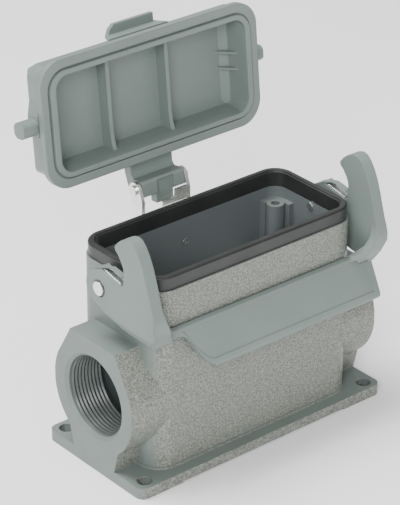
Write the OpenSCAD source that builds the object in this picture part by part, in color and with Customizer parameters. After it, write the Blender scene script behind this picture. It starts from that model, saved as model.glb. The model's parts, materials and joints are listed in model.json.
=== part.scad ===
// Heavy duty rectangular connector: surface mounting base housing for a 16-pole insert,
// with cable entries in both short ends, a black collar seal, one long-side locking
// lever and a hinged protective cover standing open.
// Frame: X along the length, +Y towards the hinge side, Z up, origin in the mounting
// plane at the middle of the base flange. Millimetres.

/* [Base flange] */
// Flange length
flange_l = 115; // [112:0.5:118]
// Flange width
flange_w = 54; // [51:0.5:57]
// Flange thickness
flange_t = 4.4; // [3:0.2:6]
// Flange corner radius
flange_r = 3.2; // [1:0.2:6]
// Mounting hole spacing along X
hole_x = 105; // [104:0.5:106]
// Mounting hole spacing along Y
hole_y = 45; // [44:0.5:45.5]
// Mounting hole diameter
hole_d = 5.5; // [4.5:0.1:6]
// Height of the foot pads below the relieved underside
foot_h = 0.7; // [0.3:0.1:1.2]
// Length of each foot pad along X
foot_l = 19; // [14:0.5:24]

/* [Housing body] */
// Body length
body_l = 93.8; // [91:0.2:95]
// Body width
body_w = 43.8; // [42:0.2:45]
// Body corner radius
body_r = 8.4; // [6:0.2:10]
// Body wall thickness
wall = 3.2; // [2.6:0.1:3.6]
// Height of the seating plane on top of the seal
seat_z = 80.85; // [79:0.05:83]
// Height of the seal above its shoulder
seal_h = 5.35; // [5:0.05:5.6]
// Floor thickness over the foot pads
floor_t = 3.6; // [2.8:0.2:5]
// Insert screw boss spacing along X
boss_x = 77.5; // [76:0.5:78]
// Insert screw boss spacing along Y
boss_y = 27; // [26:0.5:28]
// Depth of the boss tops below the seating plane
boss_drop = 10.85; // [10:0.05:13]
// Length of the screw bosses
boss_h = 22; // [16:1:23]
// Tapping diameter of the M4 insert screws
boss_d = 3.3; // [3:0.1:3.6]

/* [Cable entries] */
// Height of the entry axis above the mounting plane
entry_z = 30; // [29:0.5:31]
// Bore diameter of the M32 x 1.5 thread
entry_d = 30.4; // [28:0.1:31]
// Hub radius
hub_r = 22; // [20:0.5:23]
// Half width of the flat on top of the hub
hub_flat = 12.4; // [10:0.2:13]
// Half width of the hub foot
hub_foot = 11.4; // [9:0.2:13]
// Chamfer at the mouth of each entry
entry_c = 1.2; // [0.6:0.1:1.6]

/* [Locking lever] */
// Depth of the lever pivot below the seating plane
pivot_drop = 8.55; // [8.4:0.05:8.7]
// Gap between the body end and the inside of a cheek
cheek_gap = 2.5; // [2.4:0.1:3.2]
// Gap between the body front and the lever
lever_gap = 0.5; // [0.4:0.1:1]
// Cheek thickness
cheek_t = 4.6; // [4.2:0.1:4.7]
// Pivot pin diameter
pin_d = 4; // [3.6:0.1:4.4]
// Running clearance of a pin in its hole, on the radius
play = 0.06; // [0.03:0.01:0.09]
// Thickness of the spring leaf in each cheek
leaf_t = 0.6; // [0.4:0.05:0.7]

/* [Cover] */
// Angle the cover stands open
open_angle = 96; // [90:1:98]
// Overhang of the cover's flange beyond the body front
cover_over = 1.8; // [1.2:0.1:2.2]
// Height of the cover above the seating plane
cover_h = 13.4; // [12.6:0.1:14]
// Depth of the cover's cavity
cavity_h = 11.8; // [10.8:0.1:12]
// Diameter of the locking pegs
peg_d = 6.4; // [5.8:0.1:6.4]
// Height of the peg axis above the seating plane
peg_h = 7.5; // [7.45:0.05:7.6]

/* [Hinge] */
// Hinge axis behind the rear wall of the body
hinge_back = 12.1; // [11.7:0.1:12.5]
// Hinge axis above the seating plane
hinge_up = 2.15; // [1.95:0.05:2.35]
// Hinge pin diameter
hinge_d = 3; // [2.6:0.1:3.4]
// Bracket sheet thickness
sheet = 1.4; // [1:0.1:1.5]
// Distance over the outer faces of the bracket arms
bracket_l = 22.6; // [22:0.2:23.4]
// Depth of the bracket rivet below the seating plane
rivet_drop = 16.25; // [15:0.25:18]
// Rivet shank diameter
rivet_d = 2.6; // [2.2:0.1:3]

/* [Hidden] */
$fn = 48;
e = 0.01;
bx = body_l / 2;
by = body_w / 2;
ix = bx - wall;
iy = by - wall;
ir = body_r - wall;
fx = flange_l / 2;
fy = flange_w / 2;
shoulder_z = seat_z - seal_h;
boss_z = seat_z - boss_drop;
pivot_z = seat_z - pivot_drop;
hinge_y = by + hinge_back;
hinge_z = seat_z + hinge_up;
rivet_z = seat_z - rivet_drop;
fr = -(by + lever_gap);
seal_in = 0.6;
rim_out = 1.5;
rim_z = seat_z - 2.3;
lip_z = seat_z - 0.6;
ci = bx + cheek_gap;
cx = ci + cheek_t;
hole_r = pin_d / 2 + play;
tail_r = pin_d / 2 - 0.5;
head_r = 2.6;
head_t = 1;
clx = ci - 0.3;
cly = by + cover_over;
cr = 9.5;
capx = clx - 1.1;
capy = cly - 2.2;
capr = cr - 1;
beadx = ix + 1.7;
beady = iy + 1.05;
cavx = ix - 0.6;
cavy = iy - 0.75;
peg_in = capx - 2.6;
kx = bracket_l / 2 - sheet - 0.3;
hinge_r = hinge_d / 2 + play;

module rrect(hx, hy, r) {
  union() {
    square([2 * hx - 2 * r, 2 * hy], center = true);
    square([2 * hx, 2 * hy - 2 * r], center = true);
    for (sx = [-1, 1])
      for (sy = [-1, 1])
        translate([sx * (hx - r), sy * (hy - r)])
          circle(r = r);
  }
}

// A rounded rectangular block standing on height z.
module block(hx, hy, r, z, h) {
  translate([0, 0, z])
    linear_extrude(height = h)
      rrect(hx, hy, r);
}

// Extrudes a Y-Z outline along X from x0 over the length l.
module along_x(x0, l) {
  translate([x0, 0, 0])
    rotate([90, 0, 90])
      linear_extrude(height = l)
        children();
}

// Extrudes an X-Z outline along Y from y0 over the length l.
module along_y(y0, l) {
  translate([0, y0 + l, 0])
    rotate([90, 0, 0])
      linear_extrude(height = l)
        children();
}

// Cylinder along X from x0.
module rod_x(x0, y, z, r, l) {
  translate([x0, y, z])
    rotate([0, 90, 0])
      cylinder(r = r, h = l);
}

// Cylinder along Y from y0.
module rod_y(x, y0, z, r, l) {
  translate([x, y0, z])
    rotate([-90, 0, 0])
      cylinder(r = r, h = l);
}

// ---------------------------------------------------------------- housing

module hub_outline() {
  top = entry_z + 22.4;
  intersection() {
    union() {
      translate([0, entry_z])
        circle(r = hub_r);
      polygon([
        [-hub_flat, top],
        [-hub_r * 0.92, entry_z + hub_r * 0.4],
        [-hub_foot, flange_t - 1],
        [hub_foot, flange_t - 1],
        [hub_r * 0.92, entry_z + hub_r * 0.4],
        [hub_flat, top]
      ]);
    }
    translate([-by + 0.05, 0])
      square([2 * by - 0.1, 100]);
  }
}

module corner_boss() {
  dx = ix - boss_x / 2;
  dy = iy - boss_y / 2;
  z0 = boss_z - boss_h;
  translate([boss_x / 2, boss_y / 2, z0])
    cylinder(r = 3.3, h = boss_h);
  translate([boss_x / 2, boss_y / 2, z0])
    linear_extrude(height = boss_h)
      polygon([
        [-2.9, dy + 1],
        [-2.9, 2.6],
        [-1.7, 2.6],
        [-1.7, 1.5],
        [1.5, -1.7],
        [2.8, -1.7],
        [2.8, -4.4],
        [dx + 1, -4.4],
        [dx + 1, dy - 2],
        [dx - 2, dy + 1]
      ]);
}

module housing_shell() {
  difference() {
    union() {
      difference() {
        block(fx, fy, flange_r, 0, flange_t);
        translate([-fx + foot_l, -fy - 1, -1])
          cube([flange_l - 2 * foot_l, flange_w + 2, foot_h + 1]);
      }
      block(bx, by, body_r, flange_t - 1, shoulder_z - flange_t + 1);
      block(bx + 0.7, by + 0.7, body_r + 0.7, flange_t - 1, 1.9);
      block(bx - rim_out, by - rim_out, body_r - rim_out, shoulder_z - 1, rim_z - shoulder_z + 1);
      for (s = [0, 1])
        mirror([s, 0, 0]) {
          along_x(-fx, fx - bx + body_r)
            hub_outline();
          rod_x(bx - 0.4, 0, pivot_z, 4.7, ci - 0.3 - bx + 0.4);
        }
    }
    block(ix, iy, ir, foot_h + floor_t, seat_z);
    block(ix + seal_in, iy + seal_in, ir + seal_in, shoulder_z - 1.1, 20);
  }
}

module housing() {
  color([0.62, 0.65, 0.63])
    difference() {
      union() {
        housing_shell();
        for (mx = [0, 1])
          for (my = [0, 1])
            mirror([mx, 0, 0])
              mirror([0, my, 0])
                corner_boss();
      }
      for (sx = [-1, 1])
        for (sy = [-1, 1]) {
          translate([sx * hole_x / 2, sy * hole_y / 2, -1])
            cylinder(d = hole_d, h = flange_t + 2);
          translate([sx * boss_x / 2, sy * boss_y / 2, boss_z - 12])
            cylinder(d = boss_d, h = 13);
        }
      for (s = [0, 1])
        mirror([s, 0, 0]) {
          rod_x(-fx - 1, 0, entry_z, entry_d / 2, fx - ix + 2);
          translate([-fx - e, 0, entry_z])
            rotate([0, 90, 0])
              cylinder(r1 = entry_d / 2 + entry_c, r2 = entry_d / 2, h = entry_c);
          rod_x(ix - 1, 0, pivot_z, tail_r, wall);
          rod_x(bx - 0.8, 0, pivot_z, pin_d / 2, ci - bx + 2);
        }
      rod_y(0, iy - 1, rivet_z, rivet_d / 2, wall + 2);
    }
}

// ---------------------------------------------------------------- collar seal

module collar_seal() {
  color([0.12, 0.12, 0.12])
    difference() {
      union() {
        block(bx - 0.6, by - 0.6, body_r - 0.6, shoulder_z, lip_z - shoulder_z);
        block(bx - 1.1, by - 1.1, body_r - 1.1, lip_z - 0.2, seat_z - lip_z + 0.2);
      }
      difference() {
        block(bx - rim_out, by - rim_out, body_r - rim_out, shoulder_z - 1, rim_z - shoulder_z + 1);
        block(ix + seal_in, iy + seal_in, ir + seal_in, shoulder_z - 2, 10);
      }
      block(ix, iy, ir, shoulder_z - 2, 20);
      block(ix + 0.5, iy + 0.5, ir + 0.5, lip_z, 20);
    }
  color([0.12, 0.12, 0.12])
    difference() {
      block(ix + seal_in, iy + seal_in, ir + seal_in, shoulder_z - 1.1, 1.1 + e);
      block(ix, iy, ir, shoulder_z - 2, 5);
    }
}

// ---------------------------------------------------------------- locking lever

// Side outline of one cheek, Y and Z measured from the pivot.
module cheek_outline() {
  difference() {
    union() {
      circle(r = 7.2);
      polygon([
        [2, 6.9],
        [0, 8.4],
        [-3, 10.1],
        [-5, 10.75],
        [-7.2, 10.4],
        [-9.2, 10.05],
        [-11.2, 9.45],
        [-12.6, 8.85],
        [-12.9, 8.4],
        [-12.2, 7.9],
        [-9.2, 8.5],
        [-6.5, 9],
        [-4, 9],
        [-1.6, 8.1],
        [-2.8, 7.7],
        [-6.1, 6.9],
        [-9.4, 6.3],
        [-11.8, 5.7],
        [-13, 6.3],
        [-13.4, 7.4],
        [-13.5, 9.7],
        [-13.7, 11.6],
        [-13.4, 13.4],
        [-12.4, 15.3],
        [-10.8, 17.3],
        [-9.2, 18.7],
        [-8.9, 19.8],
        [-10.4, 21.8],
        [-12.2, 23.4],
        [-14.2, 24.6],
        [fr + 6, 25.2],
        [fr + 4, 24.8],
        [fr + 2.1, 23.2],
        [fr + 0.1, 20.3],
        [fr - 1.8, 16.4],
        [fr - 3.9, 10.5],
        [fr - 6, 3.7],
        [fr - 7.3, 0.3],
        [fr - 7.9, -2],
        [fr - 7.9, -4.8],
        [fr - 6.9, -8.3],
        [fr - 5, -11],
        [fr - 2.5, -12.7],
        [fr + 0.1, -13.3],
        [fr + 2.9, -13.4],
        [-16.8, -13.1],
        [-11.3, -11.9],
        [-5.8, -9.7],
        [-2.5, -8.4],
        [0, -7.2]
      ]);
    }
    circle(r = hole_r);
  }
}

// Front skin beside each cheek, turning round the lobe towards the panel.
module lobe_outline() {
  polygon([
    [fr - 2.1, 7.6],
    [fr - 4.8, 7.6],
    [fr - 6, 3.7],
    [fr - 7.3, 0.3],
    [fr - 7.9, -2],
    [fr - 7.9, -4.8],
    [fr - 6.9, -8.3],
    [fr - 5, -11],
    [fr - 3.6, -14],
    [fr, -14],
    [fr, -10.8],
    [fr - 1.8, -9],
    [fr - 3.8, -6.6],
    [fr - 4.6, -3.8],
    [fr - 4.3, -0.4],
    [fr - 3.2, 3.6]
  ]);
}

// Sloping front panel of the lever.
module panel_outline() {
  polygon([
    [fr, -10.8],
    [fr - 1.7, -11.3],
    [fr - 8.5, -25.4],
    [fr - 8.6, -26.6],
    [fr - 7.8, -27.7],
    [fr - 6.5, -27.9],
    [fr - 5.5, -26.9],
    [fr - 2.9, -21.5],
    [fr, -15.4]
  ]);
}

module lever_half() {
  translate([0, 0, pivot_z])
    intersection() {
      union() {
        along_x(ci, cheek_t)
          cheek_outline();
        intersection() {
          along_x(ci - 8, 8 + cheek_t - 0.3)
            lobe_outline();
          translate([0, 0, -20])
            linear_extrude(height = 40)
              polygon([
                [ci - 8, fr + 2.4],
                [ci - 8, fr - 2.2],
                [ci - 3, fr - 7.2],
                [ci, fr - 8.2],
                [cx, fr - 8.2],
                [cx, fr + 2.4]
              ]);
        }
      }
      // rounding of the outer front corner, seen from above
      translate([0, 0, -40])
        linear_extrude(height = 80)
          polygon([
            [ci - 12, 12],
            [cx + 1, 12],
            [cx + 1, fr - 1.5],
            [cx, fr - 3.5],
            [cx - 0.5, fr - 5.2],
            [cx - 1.6, fr - 6.8],
            [cx - 3, fr - 7.8],
            [cx - 4, fr - 8.4],
            [ci - 12, fr - 8.4]
          ]);
      // draw-in of the lobe towards the panel, seen from the front
      along_y(-60, 90)
        polygon([
          [ci - 12, 40],
          [cx + 1, 40],
          [cx + 1, -6],
          [cx, -8.2],
          [cx - 0.5, -9.8],
          [cx - 1.4, -11.8],
          [cx - 2.4, -13.3],
          [cx - 3.2, -14.6],
          [cx - 3.2, -20],
          [ci - 12, -20]
        ]);
    }
}

module locking_lever() {
  wz = pivot_z - 10.8;
  color([0.6, 0.64, 0.62])
    difference() {
      union() {
        for (s = [0, 1])
          mirror([s, 0, 0])
            lever_half();
        translate([0, 0, pivot_z])
          along_x(-ci - 1, 2 * ci + 2.6)
            panel_outline();
      }
      // window between the cheeks
      along_y(-40, 30)
        polygon([
          [-ci, wz + 40],
          [-ci, wz + 12.4],
          [-ci + 0.8, wz + 8.5],
          [-ci + 2.9, wz + 4.6],
          [-ci + 6.4, wz + 1.6],
          [-ci + 11, wz],
          [ci - 11, wz],
          [ci - 6.4, wz + 1.6],
          [ci - 2.9, wz + 4.6],
          [ci - 0.8, wz + 8.5],
          [ci, wz + 12.4],
          [ci, wz + 40]
        ]);
      // arch at the lower left, clear of the cable gland
      along_y(-40, 30)
        polygon([
          [-cx - 5, wz - 3.6],
          [-ci + 5.2, wz - 3.5],
          [-ci + 7.4, wz - 2.9],
          [-ci + 9.6, wz - 2.7],
          [-ci + 11.6, wz - 3],
          [-ci + 13.2, wz - 3.9],
          [-ci + 14.6, wz - 5.5],
          [-ci + 15.8, wz - 7.8],
          [-ci + 17.2, wz - 10.6],
          [-ci + 18.4, wz - 12.6],
          [-ci + 20, wz - 14.2],
          [-ci + 22, wz - 15.6],
          [-ci + 22, wz - 25],
          [-cx - 5, wz - 25]
        ]);
      // sunk field of the front panel
      translate([0, fr - 1.7, pivot_z - 11.3])
        rotate([64.25, 0, 0])
          translate([0, 0, -0.3])
            linear_extrude(height = 2)
              polygon([
                [ci - 1, -1.1],
                [ci - 1, -14.2],
                [-ci + 21.9, -14.2],
                [-ci + 19.9, -13],
                [-ci + 15.8, -8],
                [-ci + 13.8, -3.2],
                [-ci + 12.2, -1.1]
              ]);
      // recesses for the pin heads
      for (s = [0, 1])
        mirror([s, 0, 0])
          rod_x(cx - head_t + 0.2, 0, pivot_z, head_r + 0.6, 5);
    }
}

module leaf() {
  color([0.8, 0.8, 0.8])
    translate([0, 0, pivot_z])
      along_x(ci + 0.2, cheek_t - 0.6)
        polygon([
          [-2.9, 7.75],
          [-6.1, 6.95],
          [-9.4, 6.35],
          [-11.6, 5.8],
          [-11.5, 5.8 + leaf_t],
          [-9.3, 6.4 + leaf_t],
          [-6, 7 + leaf_t],
          [-2.9, 7.75 + leaf_t]
        ]);
}

module lever_leaf_left() {
  mirror([1, 0, 0])
    leaf();
}

module lever_leaf_right() {
  leaf();
}

// Riveted pivot pin: shank, head in the cheek and the end closed inside the wall.
module lever_pin() {
  color([0.8, 0.8, 0.8])
    union() {
      rod_x(ix - 0.4, 0, pivot_z, tail_r, wall);
      rod_x(bx - 0.8, 0, pivot_z, pin_d / 2, cx - bx + 0.8);
      rod_x(cx - head_t + 0.3, 0, pivot_z, head_r, head_t + 0.3);
    }
}

module lever_pin_left() {
  mirror([1, 0, 0])
    lever_pin();
}

module lever_pin_right() {
  lever_pin();
}

// ---------------------------------------------------------------- cover

// The cover is drawn closed, height measured from the seating plane.
module cover_arm() {
  hy = hinge_y;
  hz = hinge_up;
  difference() {
    along_x(-kx, 2 * kx)
      polygon([
        [capy - 1, 9.4],
        [hy - 5.2, 9.4],
        [hy - 0.2, 8],
        [hy + 2.3, 5.8],
        [hy + 3.2, hz + 1],
        [hy + 3.2, hz - 2],
        [hy + 2.2, hz - 3.4],
        [hy - 2.4, hz - 3.1],
        [hy - 3.2, hz - 2.2],
        [hy - 3.2, hz + 2.4],
        [hy - 4.6, 5.6],
        [capy - 1, 5.6]
      ]);
    translate([-3, hy - 2.4, hz - 6])
      cube([7.6, 12, 3.8]);
  }
  // finger that stops against the bracket when the cover stands open
  translate([-3, hy + 2, hz - 2.2])
    cube([7.6, 4.8, 3.4]);
}

module cover_tab() {
  along_y(-capy - 1.1, 2.1)
    polygon([
      [-13.4, 7.4],
      [13.4, 7.4],
      [10.2, cover_h],
      [-10.2, cover_h]
    ]);
  translate([0, 0, cover_h - 1.7])
    linear_extrude(height = 1.7)
      polygon([
        [-10.6, -capy + 0.6],
        [10.2, -capy + 0.6],
        [10.2, -capy - 4.4],
        [-7.6, -capy - 4.4],
        [-9.6, -capy - 2.8],
        [-10.6, -capy - 0.4]
      ]);
}

module cover_closed() {
  cut = 2.4;
  difference() {
    union() {
      // seal bead, groove and flange
      block(beadx, beady, ir + 1.9, 0, 3);
      block(clx, cly, cr, 0.8, 2.6);
      // cap with drafted walls and chamfered top edges
      intersection() {
        block(capx, capy, capr, 2, cover_h - 2);
        along_x(-60, 120)
          polygon([
            [-capy - 0.3, 0],
            [-capy + 0.6, cover_h - cut],
            [-capy + cut + 0.4, cover_h],
            [capy - cut - 0.4, cover_h],
            [capy - 0.6, cover_h - cut],
            [capy + 0.3, 0]
          ]);
        along_y(-30, 60)
          polygon([
            [-capx - 0.3, 0],
            [-capx + 0.8, cover_h - cut],
            [-capx + cut + 0.8, cover_h],
            [capx - cut - 0.8, cover_h],
            [capx - 0.8, cover_h - cut],
            [capx + 0.3, 0]
          ]);
      }
      for (s = [0, 1])
        mirror([s, 0, 0]) {
          // locking peg with flattened sides, and the pad at its root
          translate([peg_in, 0, peg_h])
            rotate([90, 0, 90])
              linear_extrude(height = cx + 1 - peg_in)
                intersection() {
                  circle(d = peg_d);
                  square([peg_d - 0.6, peg_d - 0.6], center = true);
                }
          translate([0, 0, 4.6])
            linear_extrude(height = 5.8)
              polygon([
                [capx - 2, -9],
                [capx - 0.4, -8.6],
                [capx + 0.8, -3.6],
                [capx + 0.8, 3.4],
                [capx - 0.4, 3.8],
                [capx - 2, 3.8]
              ]);
        }
      cover_arm();
      cover_tab();
    }
    // cavity with drafted walls and a chamfered floor
    intersection() {
      block(cavx, cavy, ir, -1, cavity_h + 1);
      along_x(-60, 120)
        polygon([
          [-cavy, -1],
          [-cavy, 0],
          [-cavy + 0.9, cavity_h - 1.2],
          [-cavy + 1.9, cavity_h],
          [cavy - 1.9, cavity_h],
          [cavy - 0.9, cavity_h - 1.2],
          [cavy, 0],
          [cavy, -1]
        ]);
      along_y(-30, 60)
        polygon([
          [-cavx, -1],
          [-cavx, 0],
          [-cavx + 1.2, cavity_h - 2.4],
          [-cavx + 3.6, cavity_h],
          [cavx - 3.6, cavity_h],
          [cavx - 1.2, cavity_h - 2.4],
          [cavx, 0],
          [cavx, -1]
        ]);
    }
    // groove outside the bead
    difference() {
      block(beadx + 0.7, beady + 0.7, ir + 2.6, -1, 2.6);
      block(beadx, beady, ir + 1.9, -2, 6);
    }
    rod_x(-30, hinge_y, hinge_up, hinge_r, 60);
  }
  // two cross ribs and the gussets behind the pegs
  for (x = [-16.8, 10])
    along_x(x, 1.6)
      polygon([
        [-cavy + 0.4, cavity_h + 0.5],
        [-cavy + 0.4, 6.2],
        [cavy - 6.6, 6.2],
        [cavy - 3.4, 5.9],
        [cavy - 1.4, 5.3],
        [cavy - 0.3, 4.7],
        [cavy - 0.3, cavity_h + 0.5]
      ]);
  for (s = [0, 1])
    mirror([s, 0, 0])
      for (y = [-3.6, 2.6])
        along_y(y, 1)
          polygon([
            [cavx - 5.6, cavity_h + 0.5],
            [cavx - 0.8, 5],
            [cavx + 0.3, 5],
            [cavx + 0.3, cavity_h + 0.5]
          ]);
}

module cover() {
  color([0.6, 0.64, 0.62])
    translate([0, hinge_y, hinge_z])
      rotate([-open_angle, 0, 0])
        translate([0, -hinge_y, -hinge_up])
          cover_closed();
}

// ---------------------------------------------------------------- hinge

module hinge_bracket() {
  x0 = bracket_l / 2 - sheet;
  strip = hinge_y - 4.4;
  color([0.8, 0.81, 0.82])
    difference() {
      union() {
        // plate riveted to the wall
        translate([-bracket_l / 2, by, hinge_z - 27])
          cube([bracket_l, sheet, 15]);
        // upright ears with the hinge eyes
        for (x = [-bracket_l / 2, x0])
          along_x(x, sheet)
            difference() {
              union() {
                translate([hinge_y, hinge_z])
                  circle(r = 3);
                polygon([
                  [hinge_y + 2.9, hinge_z - 0.8],
                  [hinge_y + 1.5, hinge_z - 4],
                  [hinge_y + 1.3, hinge_z - 9],
                  [hinge_y - 1, hinge_z - 12.5],
                  [by + sheet + 2, hinge_z - 25],
                  [by + sheet, hinge_z - 27],
                  [by, hinge_z - 27],
                  [by, hinge_z - 15],
                  [hinge_y - 6, hinge_z - 11],
                  [hinge_y - 4.4, hinge_z - 9],
                  [hinge_y - 4.4, hinge_z - 3.6],
                  [hinge_y - 2.9, hinge_z + 0.7]
                ]);
              }
              translate([hinge_y, hinge_z])
                circle(d = hinge_d);
            }
        // strip turned in from one ear, which the cover stops against
        translate([-1.7, strip, hinge_z - 7.8])
          cube([x0 + 1.7 + e, sheet, 1.8]);
        translate([4.8, strip, hinge_z - 6.2])
          cube([x0 - 4.8 + e, sheet, 3.1]);
      }
      rod_y(0, by - 1, rivet_z, rivet_d / 2, sheet + 2);
    }
}

module hinge_pin() {
  color([0.8, 0.8, 0.8])
    union() {
      rod_x(-bracket_l / 2, hinge_y, hinge_z, hinge_d / 2, bracket_l);
      for (s = [0, 1])
        mirror([s, 0, 0])
          rod_x(bracket_l / 2, hinge_y, hinge_z, 1.9, 1);
    }
}

module bracket_rivet() {
  color([0.8, 0.8, 0.8])
    union() {
      rod_y(0, iy - 0.3, rivet_z, rivet_d / 2, wall + sheet + 0.4);
      rod_y(0, by + sheet, rivet_z, 2.8, 1.1);
    }
}

housing();
collar_seal();
locking_lever();
lever_pin_left();
lever_pin_right();
lever_leaf_left();
lever_leaf_right();
cover();
hinge_bracket();
hinge_pin();
bracket_rivet();
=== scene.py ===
import bpy, bmesh, json, math
from mathutils import Vector, Matrix


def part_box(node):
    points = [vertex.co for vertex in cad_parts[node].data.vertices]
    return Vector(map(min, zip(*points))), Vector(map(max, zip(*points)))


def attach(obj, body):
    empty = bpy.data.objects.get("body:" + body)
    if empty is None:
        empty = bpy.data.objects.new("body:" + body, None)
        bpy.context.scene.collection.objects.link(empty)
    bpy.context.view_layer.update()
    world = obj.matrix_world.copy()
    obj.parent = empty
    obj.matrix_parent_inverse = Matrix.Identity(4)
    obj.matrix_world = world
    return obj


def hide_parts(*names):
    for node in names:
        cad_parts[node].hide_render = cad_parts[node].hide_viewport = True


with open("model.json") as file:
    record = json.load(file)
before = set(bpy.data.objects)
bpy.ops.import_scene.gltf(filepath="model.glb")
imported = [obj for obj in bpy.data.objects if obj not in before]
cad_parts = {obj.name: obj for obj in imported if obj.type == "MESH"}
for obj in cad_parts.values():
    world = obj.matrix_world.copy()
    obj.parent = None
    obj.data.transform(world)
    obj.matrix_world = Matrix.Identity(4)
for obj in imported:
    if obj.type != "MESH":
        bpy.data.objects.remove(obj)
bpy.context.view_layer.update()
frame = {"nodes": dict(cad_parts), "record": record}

scene = bpy.context.scene
nodes = frame["nodes"]

# ---------------------------------------------------------------- studio
# The part stands on a plain pale table under large soft boxes: one from the front left,
# one overhead and a weak one low in front.
table_size = 6.0
table_colour = (0.93, 0.93, 0.93)
floor_mesh = bpy.data.meshes.new("floor")
bm = bmesh.new()
bmesh.ops.create_grid(bm, x_segments=1, y_segments=1, size=table_size)
bm.to_mesh(floor_mesh)
bm.free()
floor = bpy.data.objects.new("floor", floor_mesh)
scene.collection.objects.link(floor)
table_paint = bpy.data.materials.new("table_paint")
table_paint.use_nodes = True
table_shader = table_paint.node_tree.nodes["Principled BSDF"]
table_shader.inputs["Base Color"].default_value = (*table_colour, 1)
table_shader.inputs["Roughness"].default_value = 0.9
table_shader.inputs["Specular IOR Level"].default_value = 0.1
floor_mesh.materials.append(table_paint)

world = bpy.data.worlds.new("studio")
scene.world = world
world.use_nodes = True
daylight = world.node_tree.nodes["Background"]
daylight.inputs["Color"].default_value = (1, 1, 1, 1)
daylight.inputs["Strength"].default_value = 0.62


def soft_box(name, place, aim, width, height, power):
    """A rectangular lamp at a place, turned to face the point it lights."""
    data = bpy.data.lights.new(name, "AREA")
    data.shape = "RECTANGLE"
    data.size, data.size_y = width, height
    data.energy = power
    lamp = bpy.data.objects.new(name, data)
    scene.collection.objects.link(lamp)
    lamp.location = place
    lamp.rotation_mode = "QUATERNION"
    lamp.rotation_quaternion = (Vector(place) - Vector(aim)).to_track_quat("Z", "Y")


mid_part = (0, 0, 0.06)
low_part = (0, 0, 0.03)
soft_box("box_front", (-0.9, -0.75, 0.75), mid_part, 0.5, 0.5, 15)
soft_box("box_top", (-0.25, 0.35, 1.2), mid_part, 0.6, 0.6, 23)
soft_box("box_low", (-0.1, -1.2, 0.1), low_part, 0.6, 0.2, 3)

azimuth = math.radians(-40.1134)
elevation = math.radians(28.1271)
roll = math.radians(0.3784)
back = Vector((math.sin(azimuth) * math.cos(elevation),
               -math.cos(azimuth) * math.cos(elevation),
               math.sin(elevation)))
lens = bpy.data.cameras.new("camera")
lens.sensor_width = 36
lens.lens = 176.36
lens.clip_end = 20
camera = bpy.data.objects.new("camera", lens)
scene.collection.objects.link(camera)
camera.location = (-0.506006, -0.590147, 0.483414)
camera.rotation_mode = "QUATERNION"
camera.rotation_quaternion = (back.to_track_quat("Z", "Y").to_matrix().to_4x4()
                              @ Matrix.Rotation(roll, 4, "Z")).to_quaternion()
scene.camera = camera

# ---------------------------------------------------------------- base housing
# One aluminium die-casting: flange, body, two cable entry hubs and the insert bosses.
# It is shot blasted and powder coated light grey, which leaves a coarse grain, whose light
# speckles are painted glints, on the outer walls facing front and back; the hub faces and
# the inside stay smooth.
coat_dark, coat_light = (0.135, 0.165, 0.152), (0.155, 0.186, 0.172)
# The light grain tone stands partly for painted glints on the speckles.
grain_dark, grain_glint_light = (0.095, 0.105, 0.095), (0.25, 0.262, 0.225)
inside_coat = (0.115, 0.131, 0.134)

# The group behind every finish: fine grain, soft clouds, worn edges and the bump of the
# grain over them.
grain_group = bpy.data.node_groups.new("surface_grain", "ShaderNodeTree")
sockets = grain_group.interface
for label in ("Grain Scale", "Soft Scale", "Edge Radius", "Depth", "Mask"):
    sockets.new_socket(label, in_out="INPUT", socket_type="NodeSocketFloat")
for label in ("Grain", "Cloud"):
    sockets.new_socket(label, in_out="OUTPUT", socket_type="NodeSocketFloat")
sockets.new_socket("Normal", in_out="OUTPUT", socket_type="NodeSocketVector")
tree = grain_group.nodes
join = grain_group.links.new
group_in = tree.new("NodeGroupInput")
group_out = tree.new("NodeGroupOutput")
place = tree.new("ShaderNodeTexCoord")
speck = tree.new("ShaderNodeTexNoise")
speck.inputs["Detail"].default_value = 2.0
speck.inputs["Roughness"].default_value = 0.6
join(place.outputs["Object"], speck.inputs["Vector"])
join(group_in.outputs["Grain Scale"], speck.inputs["Scale"])
cloud = tree.new("ShaderNodeTexNoise")
cloud.inputs["Detail"].default_value = 3.0
join(place.outputs["Object"], cloud.inputs["Vector"])
join(group_in.outputs["Soft Scale"], cloud.inputs["Scale"])
rounding = tree.new("ShaderNodeBevel")
rounding.samples = 6
join(group_in.outputs["Edge Radius"], rounding.inputs["Radius"])
height = tree.new("ShaderNodeMath")
height.operation = "MULTIPLY"
join(speck.outputs["Fac"], height.inputs[0])
join(group_in.outputs["Mask"], height.inputs[1])
bump = tree.new("ShaderNodeBump")
bump.inputs["Strength"].default_value = 1.0
join(group_in.outputs["Depth"], bump.inputs["Distance"])
join(height.outputs["Value"], bump.inputs["Height"])
join(rounding.outputs["Normal"], bump.inputs["Normal"])
join(speck.outputs["Fac"], group_out.inputs["Grain"])
join(cloud.outputs["Fac"], group_out.inputs["Cloud"])
join(bump.outputs["Normal"], group_out.inputs["Normal"])


def new_finish(name, grain_scale, soft_scale, edge_radius, depth):
    """A material with the grain group in it, grained all over until its mask is joined."""
    finish = bpy.data.materials.new(name)
    finish.use_nodes = True
    tree = finish.node_tree.nodes
    join = finish.node_tree.links.new
    shader = tree["Principled BSDF"]
    grain = tree.new("ShaderNodeGroup")
    grain.node_tree = grain_group
    grain.inputs["Grain Scale"].default_value = grain_scale
    grain.inputs["Soft Scale"].default_value = soft_scale
    grain.inputs["Edge Radius"].default_value = edge_radius
    grain.inputs["Depth"].default_value = depth
    grain.inputs["Mask"].default_value = 1.0
    join(grain.outputs["Normal"], shader.inputs["Normal"])
    return finish, tree, join, shader, grain


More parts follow.
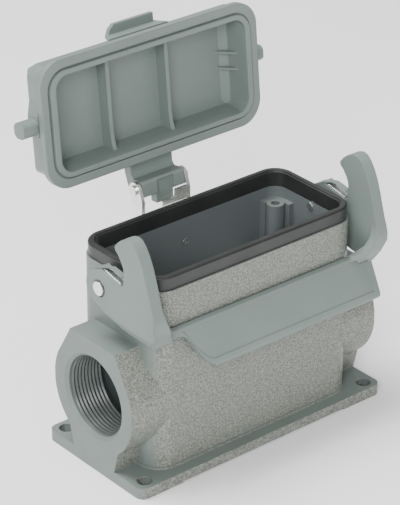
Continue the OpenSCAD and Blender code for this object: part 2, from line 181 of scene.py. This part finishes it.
def two_tones(tree, dark_at, dark, light_at, light):
    """A ramp from a dark tone to a light one."""
    ramp = tree.new("ShaderNodeValToRGB")
    ramp.color_ramp.elements[0].position = dark_at
    ramp.color_ramp.elements[0].color = (*dark, 1)
    ramp.color_ramp.elements[1].position = light_at
    ramp.color_ramp.elements[1].color = (*light, 1)
    return ramp


cast_coat, tree, join, shader, grain = new_finish("cast_coat", 1500, 60, 0.00035, 0.00028)
# The blasted grain covers the outer long walls and hub barrels, not the ends, which face
# along X where the speckles catch no light, nor the inside; its light speckles are painted
# glints. It is masked by which way a wall faces, times where it lies: the product is
# above nothing on the outside and below nothing on the inside.
point = tree.new("ShaderNodeNewGeometry")
where = tree.new("ShaderNodeTexCoord")
facing = tree.new("ShaderNodeSeparateXYZ")
join(point.outputs["True Normal"], facing.inputs["Vector"])
spot = tree.new("ShaderNodeSeparateXYZ")
join(where.outputs["Object"], spot.inputs["Vector"])
end_face = tree.new("ShaderNodeMath")
end_face.operation = "ABSOLUTE"
join(facing.outputs["X"], end_face.inputs[0])
end_mask = tree.new("ShaderNodeMapRange")
end_mask.inputs["From Min"].default_value = 0.6
end_mask.inputs["From Max"].default_value = 0.9
end_mask.inputs["To Min"].default_value = 1.0
end_mask.inputs["To Max"].default_value = 0.0
join(end_face.outputs["Value"], end_mask.inputs["Value"])
outwards = tree.new("ShaderNodeMath")
outwards.operation = "MULTIPLY"
join(facing.outputs["Y"], outwards.inputs[0])
join(spot.outputs["Y"], outwards.inputs[1])
out_mask = tree.new("ShaderNodeMapRange")
out_mask.inputs["From Min"].default_value = 0.0005
out_mask.inputs["From Max"].default_value = 0.003
join(outwards.outputs["Value"], out_mask.inputs["Value"])
mask = tree.new("ShaderNodeMath")
mask.operation = "MULTIPLY"
join(end_mask.outputs["Result"], mask.inputs[0])
join(out_mask.outputs["Result"], mask.inputs[1])
join(mask.outputs["Value"], grain.inputs["Mask"])
smooth_tone = two_tones(tree, 0.35, coat_dark, 0.65, coat_light)
join(grain.outputs["Cloud"], smooth_tone.inputs["Fac"])
# Painted glints: the light end of this ramp is speckles catching the light.
grain_and_glint_tone = two_tones(tree, 0.38, grain_dark, 0.66, grain_glint_light)
join(grain.outputs["Grain"], grain_and_glint_tone.inputs["Fac"])
tone = tree.new("ShaderNodeMix")
tone.data_type = "RGBA"
join(mask.outputs["Value"], tone.inputs["Factor"])
join(smooth_tone.outputs["Color"], tone.inputs["A"])
join(grain_and_glint_tone.outputs["Color"], tone.inputs["B"])
# Walls facing inwards get a darker, bluish grey.
across = tree.new("ShaderNodeMath")
across.operation = "MULTIPLY"
join(facing.outputs["X"], across.inputs[0])
join(spot.outputs["X"], across.inputs[1])
inside = tree.new("ShaderNodeMath")
inside.operation = "ADD"
join(across.outputs["Value"], inside.inputs[0])
join(outwards.outputs["Value"], inside.inputs[1])
inside_mask = tree.new("ShaderNodeMapRange")
inside_mask.inputs["From Min"].default_value = -0.001
inside_mask.inputs["From Max"].default_value = -0.004
join(inside.outputs["Value"], inside_mask.inputs["Value"])
inner_tone = tree.new("ShaderNodeMix")
inner_tone.data_type = "RGBA"
join(inside_mask.outputs["Result"], inner_tone.inputs["Factor"])
join(tone.outputs["Result"], inner_tone.inputs["A"])
inner_tone.inputs["B"].default_value = (*inside_coat, 1)
join(inner_tone.outputs["Result"], shader.inputs["Base Color"])
gloss = tree.new("ShaderNodeMapRange")
gloss.inputs["To Min"].default_value = 0.48
gloss.inputs["To Max"].default_value = 0.3
join(mask.outputs["Value"], gloss.inputs["Value"])
join(gloss.outputs["Result"], shader.inputs["Roughness"])
nodes["housing"].data.materials.clear()
nodes["housing"].data.materials.append(cast_coat)

# ---------------------------------------------------------------- entry threads
# Internal thread of 1.5 mm pitch, cut in each hub after casting. It is a helix of nine
# flat-topped teeth that starts just inside the chamfered mouth.
bore_dark, bore_light = (0.06, 0.072, 0.068), (0.085, 0.099, 0.093)
pitch = 0.0015
teeth = 9
thread_crest = 0.01475
thread_root = 0.01518
mouth = 0.0012
# one tooth along the axis: the end of its flank, the end of its flat and its far foot
flank_end = 0.00055
flat_end = 0.00075
foot_end = 0.0013
entry_axis_z = 0.030
turn_steps = 96
weld = 2e-6
housing_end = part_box("housing")[1].x

thread_coat, tree, join, shader, grain = new_finish("thread_coat", 2600, 120, 0.0001,
                                                    0.00003)
shader.inputs["Roughness"].default_value = 0.36
bore_tone = two_tones(tree, 0.3, bore_dark, 0.7, bore_light)
join(grain.outputs["Cloud"], bore_tone.inputs["Fac"])
join(bore_tone.outputs["Color"], shader.inputs["Base Color"])
for side, sign in (("left", -1), ("right", 1)):
    mesh = bpy.data.meshes.new("entry_thread_" + side)
    bm = bmesh.new()
    profile = []
    for tooth in range(teeth):
        x = housing_end - mouth - tooth * pitch
        profile += [(x, thread_root), (x - flank_end, thread_crest),
                    (x - flat_end, thread_crest), (x - foot_end, thread_root)]
    rim = [bm.verts.new((sign * x, 0, entry_axis_z + radius)) for x, radius in profile]
    for a, b in zip(rim, rim[1:]):
        bm.edges.new((a, b))
    bmesh.ops.spin(bm, geom=bm.verts[:] + bm.edges[:], cent=(0, 0, entry_axis_z),
                   axis=(1, 0, 0), dvec=(-sign * pitch / turn_steps, 0, 0),
                   angle=math.radians(360), steps=turn_steps, use_merge=False)
    bmesh.ops.remove_doubles(bm, verts=bm.verts, dist=weld)
    bmesh.ops.recalc_face_normals(bm, faces=bm.faces)
    # it is seen from inside the bore, so its faces point at the axis
    towards_axis = 0
    for patch in bm.faces:
        middle = patch.calc_center_median()
        towards_axis += patch.normal.dot(Vector((0, -middle.y, entry_axis_z - middle.z)))
    if towards_axis < 0:
        bmesh.ops.reverse_faces(bm, faces=bm.faces)
    bm.to_mesh(mesh)
    bm.free()
    thread = bpy.data.objects.new("entry_thread_" + side, mesh)
    scene.collection.objects.link(thread)
    mesh.materials.append(thread_coat)
    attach(thread, "base")

# ---------------------------------------------------------------- collar seal
# Black nitrile rubber moulding pushed over the collar wall, with a raised lip on top.
# It is satin, with a little dust in soft clouds.
rubber_dark, rubber_light = (0.014, 0.016, 0.015), (0.026, 0.028, 0.026)
seal_rubber, tree, join, shader, grain = new_finish("seal_rubber", 2500, 90, 0.0005,
                                                    0.00003)
shader.inputs["Roughness"].default_value = 0.42
dusty = two_tones(tree, 0.3, rubber_dark, 0.75, rubber_light)
join(grain.outputs["Cloud"], dusty.inputs["Fac"])
join(dusty.outputs["Color"], shader.inputs["Base Color"])
nodes["collar_seal"].data.materials.clear()
nodes["collar_seal"].data.materials.append(seal_rubber)

# ---------------------------------------------------------------- locking lever
# One grey thermoplastic moulding, satin and very finely eroded, with every outer edge
# rounded by the mould. It turns on the two pins.
plastic_dark, plastic_light = (0.148, 0.183, 0.168), (0.165, 0.203, 0.187)
lever_plastic, tree, join, shader, grain = new_finish("lever_plastic", 3000, 45, 0.0006,
                                                      0.000025)
shader.inputs["Roughness"].default_value = 0.46
shade = two_tones(tree, 0.3, plastic_dark, 0.7, plastic_light)
join(grain.outputs["Cloud"], shade.inputs["Fac"])
join(shade.outputs["Color"], shader.inputs["Base Color"])

lever_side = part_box("locking_lever")[1].x
lever_hinge = next(joint for joint in frame["record"]["behaviour"]["joints"]
                   if joint["name"] == "lever_hinge")
pivot = Vector(lever_hinge["pos_m"])
cheek_thick = 0.0046
cheek_inner = lever_side - cheek_thick
cheek_middle = lever_side - cheek_thick / 2
# Heights and reaches below are from the pivot. Ahead of lobe_front, the points of a lobe
# that are clear of the cheek's inner face by inner_skin go out to the cheek's face, from
# not at all at fill_low to the whole way at fill_low + fill_rise.
lobe_front = -0.0255
inner_skin = 0.0004
fill_low = -0.009
fill_rise = 0.004
hair = 0.0001
# The sprung tongue lies in this window of the cheek. It keeps tongue_share of the cheek's
# thickness, and what is above crown is let down by crown_drop.
tongue_tip, tongue_root = -0.0131, -0.0025
tongue_foot, tongue_top = 0.0077, 0.0112
tongue_share = 0.5
crown = 0.0092
crown_drop = 0.0013


def ease_lever(p):
    """Fills the outer front corner of each lobe and thins the sprung tongue."""
    side = math.copysign(1, p.x)
    ahead, up = p.y - pivot.y, p.z - pivot.z
    if abs(p.x) > cheek_inner + inner_skin and ahead < lobe_front and up > fill_low:
        share = min(1.0, (up - fill_low) / fill_rise)
        p.x += side * share * max(0.0, lever_side - hair - abs(p.x))
    if (abs(p.x) > cheek_inner - hair and tongue_tip < ahead < tongue_root
            and tongue_foot < up < tongue_top):
        p.x = side * cheek_middle + (p.x - side * cheek_middle) * tongue_share
        if up > crown:
            p.z -= crown_drop
    return p


def rounded_copy(name, node, offset, segments, ease=None):
    """A copy of a solid, eased at some points and with its sharp edges rounded.

    Doubled points are merged and level faces joined first, so that the bevel runs along
    whole edges. The flat faces then keep a flat shading.
    """
    micron = 1e-6
    level = math.radians(0.6)
    sharp_angle = math.radians(32)
    mesh = bpy.data.meshes.new(name)
    bm = bmesh.new()
    bm.from_mesh(nodes[node].data)
    bmesh.ops.remove_doubles(bm, verts=bm.verts, dist=micron)
    bmesh.ops.dissolve_limit(bm, angle_limit=level, verts=bm.verts, edges=bm.edges)
    if ease:
        for vert in bm.verts:
            vert.co = ease(vert.co.copy())
    sharp = [edge for edge in bm.edges
             if len(edge.link_faces) == 2 and edge.calc_face_angle(0) > sharp_angle]
    bmesh.ops.bevel(bm, geom=sharp, offset=offset, offset_type="OFFSET",
                    affect="EDGES", segments=segments, profile=0.5, material=-1,
                    clamp_overlap=True)
    bmesh.ops.recalc_face_normals(bm, faces=bm.faces)
    for patch in bm.faces:
        patch.smooth = True
    bm.to_mesh(mesh)
    bm.free()
    piece = bpy.data.objects.new(name, mesh)
    scene.collection.objects.link(piece)
    flats = piece.modifiers.new("flats", "WEIGHTED_NORMAL")
    flats.weight = 80
    flats.keep_sharp = True
    return piece


lever = rounded_copy("lever_moulding", "locking_lever", 0.0009, 3, ease_lever)
lever.data.materials.append(lever_plastic)
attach(lever, "lever")
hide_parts("locking_lever")

# ---------------------------------------------------------------- cover
# Protective cover of the same plastic, with a ribbed cavity, a seal bead in a groove and
# two locking pegs. It turns on the hinge pin.
lid = rounded_copy("cover_moulding", "cover", 0.0006, 2)
lid.data.materials.append(lever_plastic)
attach(lid, "lid")
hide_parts("cover")

# ---------------------------------------------------------------- steel pieces
# Pins, rivet, folded bracket and leaves, all of zinc plated steel. The plating is bright,
# with faint rolling marks that are duller in places.
zinc_dark, zinc_light = (0.72, 0.73, 0.72), (0.9, 0.9, 0.88)
zinc_steel, tree, join, shader, grain = new_finish("zinc_steel", 1800, 400, 0.0002,
                                                   0.00003)
shader.inputs["Metallic"].default_value = 1.0
plating = two_tones(tree, 0.3, zinc_dark, 0.7, zinc_light)
join(grain.outputs["Cloud"], plating.inputs["Fac"])
join(plating.outputs["Color"], shader.inputs["Base Color"])
satin = tree.new("ShaderNodeMapRange")
satin.inputs["To Min"].default_value = 0.2
satin.inputs["To Max"].default_value = 0.42
join(grain.outputs["Grain"], satin.inputs["Value"])
join(satin.outputs["Result"], shader.inputs["Roughness"])
for name in ("lever_pin_left", "lever_pin_right", "lever_leaf_left", "lever_leaf_right",
             "hinge_bracket", "hinge_pin", "bracket_rivet"):
    nodes[name].data.materials.clear()
    nodes[name].data.materials.append(zinc_steel)
